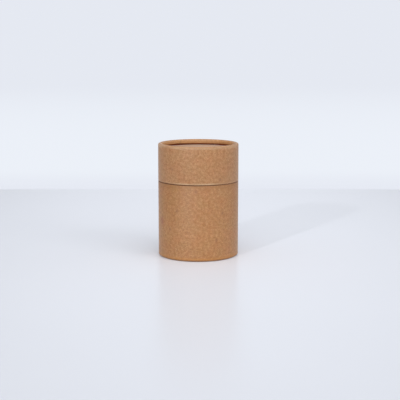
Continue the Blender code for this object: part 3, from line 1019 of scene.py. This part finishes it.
def post_section():
    """The snap post in section, from its root in the plate to the head over the dial."""
    root = PLATE_Z + PLATE_THICKNESS / 2
    corners = [
        (0.0, root),
        (POST_RADIUS, root),
        (POST_RADIUS, POST_HEAD_Z),
        (POST_HEAD_RADIUS, POST_HEAD_Z),
        (POST_RADIUS, POST_TOP),
        (0.0, POST_TOP),
    ]
    return section(corners, (((3, 4), POST_HEAD_ROUND, CORNER_SEGMENTS),))


def notch_cutter(sweep):
    """The room in the flange and the ring in which the dial's lug swings."""
    bm = bmesh.new()
    outline = sleeve_corners(
        NOTCH_REACH, WELL_RADIUS - CUT_OVERRUN, NOTCH_FLOOR, FLANGE_THICKNESS + CUT_OVERRUN
    )
    face = bm.faces.new([bm.verts.new((radius, 0.0, z)) for radius, z in outline])
    geometry = [*face.verts, *face.edges, face]
    bmesh.ops.spin(bm, geom=geometry, axis=(0, 0, 1), angle=sweep, steps=NOTCH_STEPS)
    return bm


def make_sifter():
    """Moulded insert: flanged skirt with sealing beads, perforated plate, split snap post and lug notch."""
    ring = moved(spun(skirt_section()), SIFTER_Z)
    cup = link_piece("sifter_insert", ring, insert_plastic, "sifter", "sifter_cup")
    plate_z = SIFTER_Z + PLATE_Z
    combine(cup, round_plate((WELL_RADIUS + SKIRT_RADIUS) / 2, plate_z, PLATE_THICKNESS), "UNION")
    cut_sifting_holes(cup, plate_z, PLATE_THICKNESS, 0.0)
    combine(cup, moved(spun(post_section(), POST_STEPS), SIFTER_Z), "UNION")
    slot_height = 2 * (POST_TOP - POST_SLOT_FLOOR)
    for turn in (0.0, math.pi / 2):
        slot = block((4 * POST_HEAD_RADIUS, POST_SLOT_WIDTH, slot_height), (0.0, 0.0, POST_TOP))
        combine(cup, moved(slot, SIFTER_Z, turn), "DIFFERENCE")
    margin = (LUG_WIDTH / 2 + NOTCH_PLAY) / DIAL_RADIUS
    notch = notch_cutter(HALF_WEDGE + 2 * margin)
    combine(cup, moved(notch, SIFTER_Z, LUG_ANGLE - margin), "DIFFERENCE")
    soften_edges(cup, MOULD_ROUND)


def make_dial():
    """Turning shutter: perforated disc with two drafted finger bars and a stop lug."""
    disc = round_plate(DIAL_RADIUS, DIAL_Z, DIAL_THICKNESS)
    dial = link_piece("sifter_shutter", disc, dial_plastic, "dial", "sifter_dial")
    cut_sifting_holes(dial, DIAL_Z, DIAL_THICKNESS, HALF_WEDGE)
    bore_height = DIAL_THICKNESS + 2 * CUT_OVERRUN
    combine(dial, round_plate(DIAL_BORE_RADIUS, DIAL_Z - CUT_OVERRUN, bore_height, POST_STEPS), "DIFFERENCE")
    bar_foot = DIAL_THICKNESS / 2
    bar_size = (BAR_OUTER_END - BAR_INNER_END, BAR_WIDTH, BAR_TOP - bar_foot)
    for side in (1, -1):
        center = (side * (BAR_INNER_END + BAR_OUTER_END) / 2, 0.0, (BAR_TOP + bar_foot) / 2)
        combine(dial, moved(block(bar_size, center, BAR_DRAFT), DIAL_Z), "UNION")
    lug_place = (DIAL_RADIUS, 0.0, DIAL_THICKNESS - LUG_THICKNESS / 2 - LUG_DROP)
    lug = block((2 * LUG_REACH, LUG_WIDTH, LUG_THICKNESS), lug_place)
    combine(dial, moved(lug, DIAL_Z, LUG_ANGLE), "UNION")
    soften_edges(dial, MOULD_ROUND)


make_wraps()
make_walls()
make_end_discs()
make_neck()
make_sifter()
make_dial()


# Studio

def squareish_distance(tree, split):
    """How far a place is from the middle of the table, measured to a square with rounded corners."""
    powers = [math_node(tree, "POWER", math_node(tree, "ABSOLUTE", split[side]), EDGE_POWER) for side in "XY"]
    return math_node(tree, "POWER", math_node(tree, "ADD", *powers), 1 / EDGE_POWER)


def table_falloff_and_haze(tree, place, split):
    """Painted light falloff on the table away from the tube: a slope from front to back and a bend each way,
    with a faint haze.
    """
    fade = math_node(tree, "ADD", 1.0, math_node(tree, "MULTIPLY", split["Y"], TABLE_SLOPE))
    for side, bend in TABLE_BEND.items():
        square = math_node(tree, "MULTIPLY", split[side], split[side])
        fade = math_node(tree, "ADD", fade, math_node(tree, "MULTIPLY", square, bend))
    haze = effect(tree, cloudy_tone, Place=place, Patch_Size=0.12, Depth=0.004)["Tone"]
    return math_node(tree, "MULTIPLY", math_node(tree, "MAXIMUM", fade, TABLE_DARKEST), haze)


def make_floor():
    """A pale, slightly glossy table top that passes into the backdrop all round, well behind the tube."""
    material, tree, shader = new_material("pale_table_top")
    place = node(tree, "TexCoord").outputs["Object"]
    split = node(tree, "SeparateXYZ", {"Vector": place}).outputs
    # Table colour with painted light falloff.
    top_color = scaled_color(tree, TABLE_COLOR, table_falloff_and_haze(tree, place, split))
    tree.links.new(top_color, shader.inputs["Base Color"])
    shader.inputs["Roughness"].default_value = 0.24
    shader.inputs["IOR"].default_value = 1.17
    distance = squareish_distance(tree, split)
    near = ramp(tree, distance, *NEAR_BACKDROP_REACH)
    glow = blend_color(tree, near, NEAR_BACKDROP_COLOR, MIDDLE_BACKDROP_COLOR)
    glow = blend_color(tree, ramp(tree, distance, *MIDDLE_BACKDROP_REACH), glow, BACKDROP_COLOR)
    far = node(tree, "Emission", {"Color": glow, "Strength": 1.0})
    seen = node(tree, "LightPath").outputs["Is Camera Ray"]
    amount = math_node(tree, "MULTIPLY", ramp(tree, distance, *TABLE_EDGE), seen)
    mixed = node(tree, "MixShader", {0: amount, 1: shader.outputs[0], 2: far.outputs[0]})
    tree.links.new(mixed.outputs[0], tree.nodes["Material Output"].inputs["Surface"])
    bm = bmesh.new()
    bmesh.ops.create_circle(bm, cap_ends=True, radius=TABLE_RADIUS, segments=TABLE_STEPS)
    bmesh.ops.translate(bm, verts=bm.verts, vec=(0.0, 0.0, -TABLE_DROP))
    mesh = bpy.data.meshes.new("table_top")
    bm.to_mesh(mesh)
    bm.free()
    mesh.materials.append(material)
    floor = bpy.data.objects.new("table_top", mesh)
    bpy.context.scene.collection.objects.link(floor)


def make_world():
    """Even pale light all round, with the plain backdrop colour where it is seen or mirrored."""
    world = bpy.data.worlds.new("studio")
    world.use_nodes = True
    bpy.context.scene.world = world
    tree = world.node_tree
    tree.nodes.clear()
    path = node(tree, "LightPath").outputs
    seen = math_node(tree, "MAXIMUM", path["Is Camera Ray"], path["Is Glossy Ray"])
    seen = math_node(tree, "MAXIMUM", seen, path["Is Transmission Ray"])
    light = node(tree, "Background", {"Color": (*ROOM_LIGHT_COLOR, 1.0), "Strength": ROOM_LIGHT})
    backdrop = node(tree, "Background", {"Color": (*BACKDROP_COLOR, 1.0), "Strength": 1.0})
    mixed = node(tree, "MixShader", {0: seen, 1: light.outputs[0], 2: backdrop.outputs[0]})
    output = node(tree, "OutputWorld")
    tree.links.new(mixed.outputs[0], output.inputs["Surface"])


def add_softbox(name, azimuth, elevation, distance, size, level):
    """A square area lamp aimed at the middle of the tube."""
    lamp = bpy.data.lights.new(name, "AREA")
    lamp.shape = "SQUARE"
    lamp.size = size
    lamp.energy = level * math.pi**2 * distance**2
    softbox = bpy.data.objects.new(name, lamp)
    turn, rise = math.radians(azimuth), math.radians(elevation)
    away = Vector((math.sin(turn) * math.cos(rise), -math.cos(turn) * math.cos(rise), math.sin(rise)))
    softbox.location = away * distance + Vector((0.0, 0.0, TUBE_TOP / 2))
    softbox.rotation_euler = away.to_track_quat("Z", "Y").to_euler()
    bpy.context.scene.collection.objects.link(softbox)


def make_camera():
    camera = bpy.data.cameras.new("camera")
    camera.lens = CAMERA_LENS
    camera.sensor_width = SENSOR_WIDTH
    camera.clip_start = CLIP_START
    obj = bpy.data.objects.new("camera", camera)
    obj.location = CAMERA_PLACE
    obj.rotation_euler = (math.pi / 2 - CAMERA_PITCH, 0.0, 0.0)
    bpy.context.scene.collection.objects.link(obj)
    bpy.context.scene.camera = obj


make_floor()
make_world()
for softbox_name, settings in SOFTBOXES.items():
    add_softbox(softbox_name, *settings)
make_camera()
bpy.context.scene.view_settings.view_transform = "Standard"
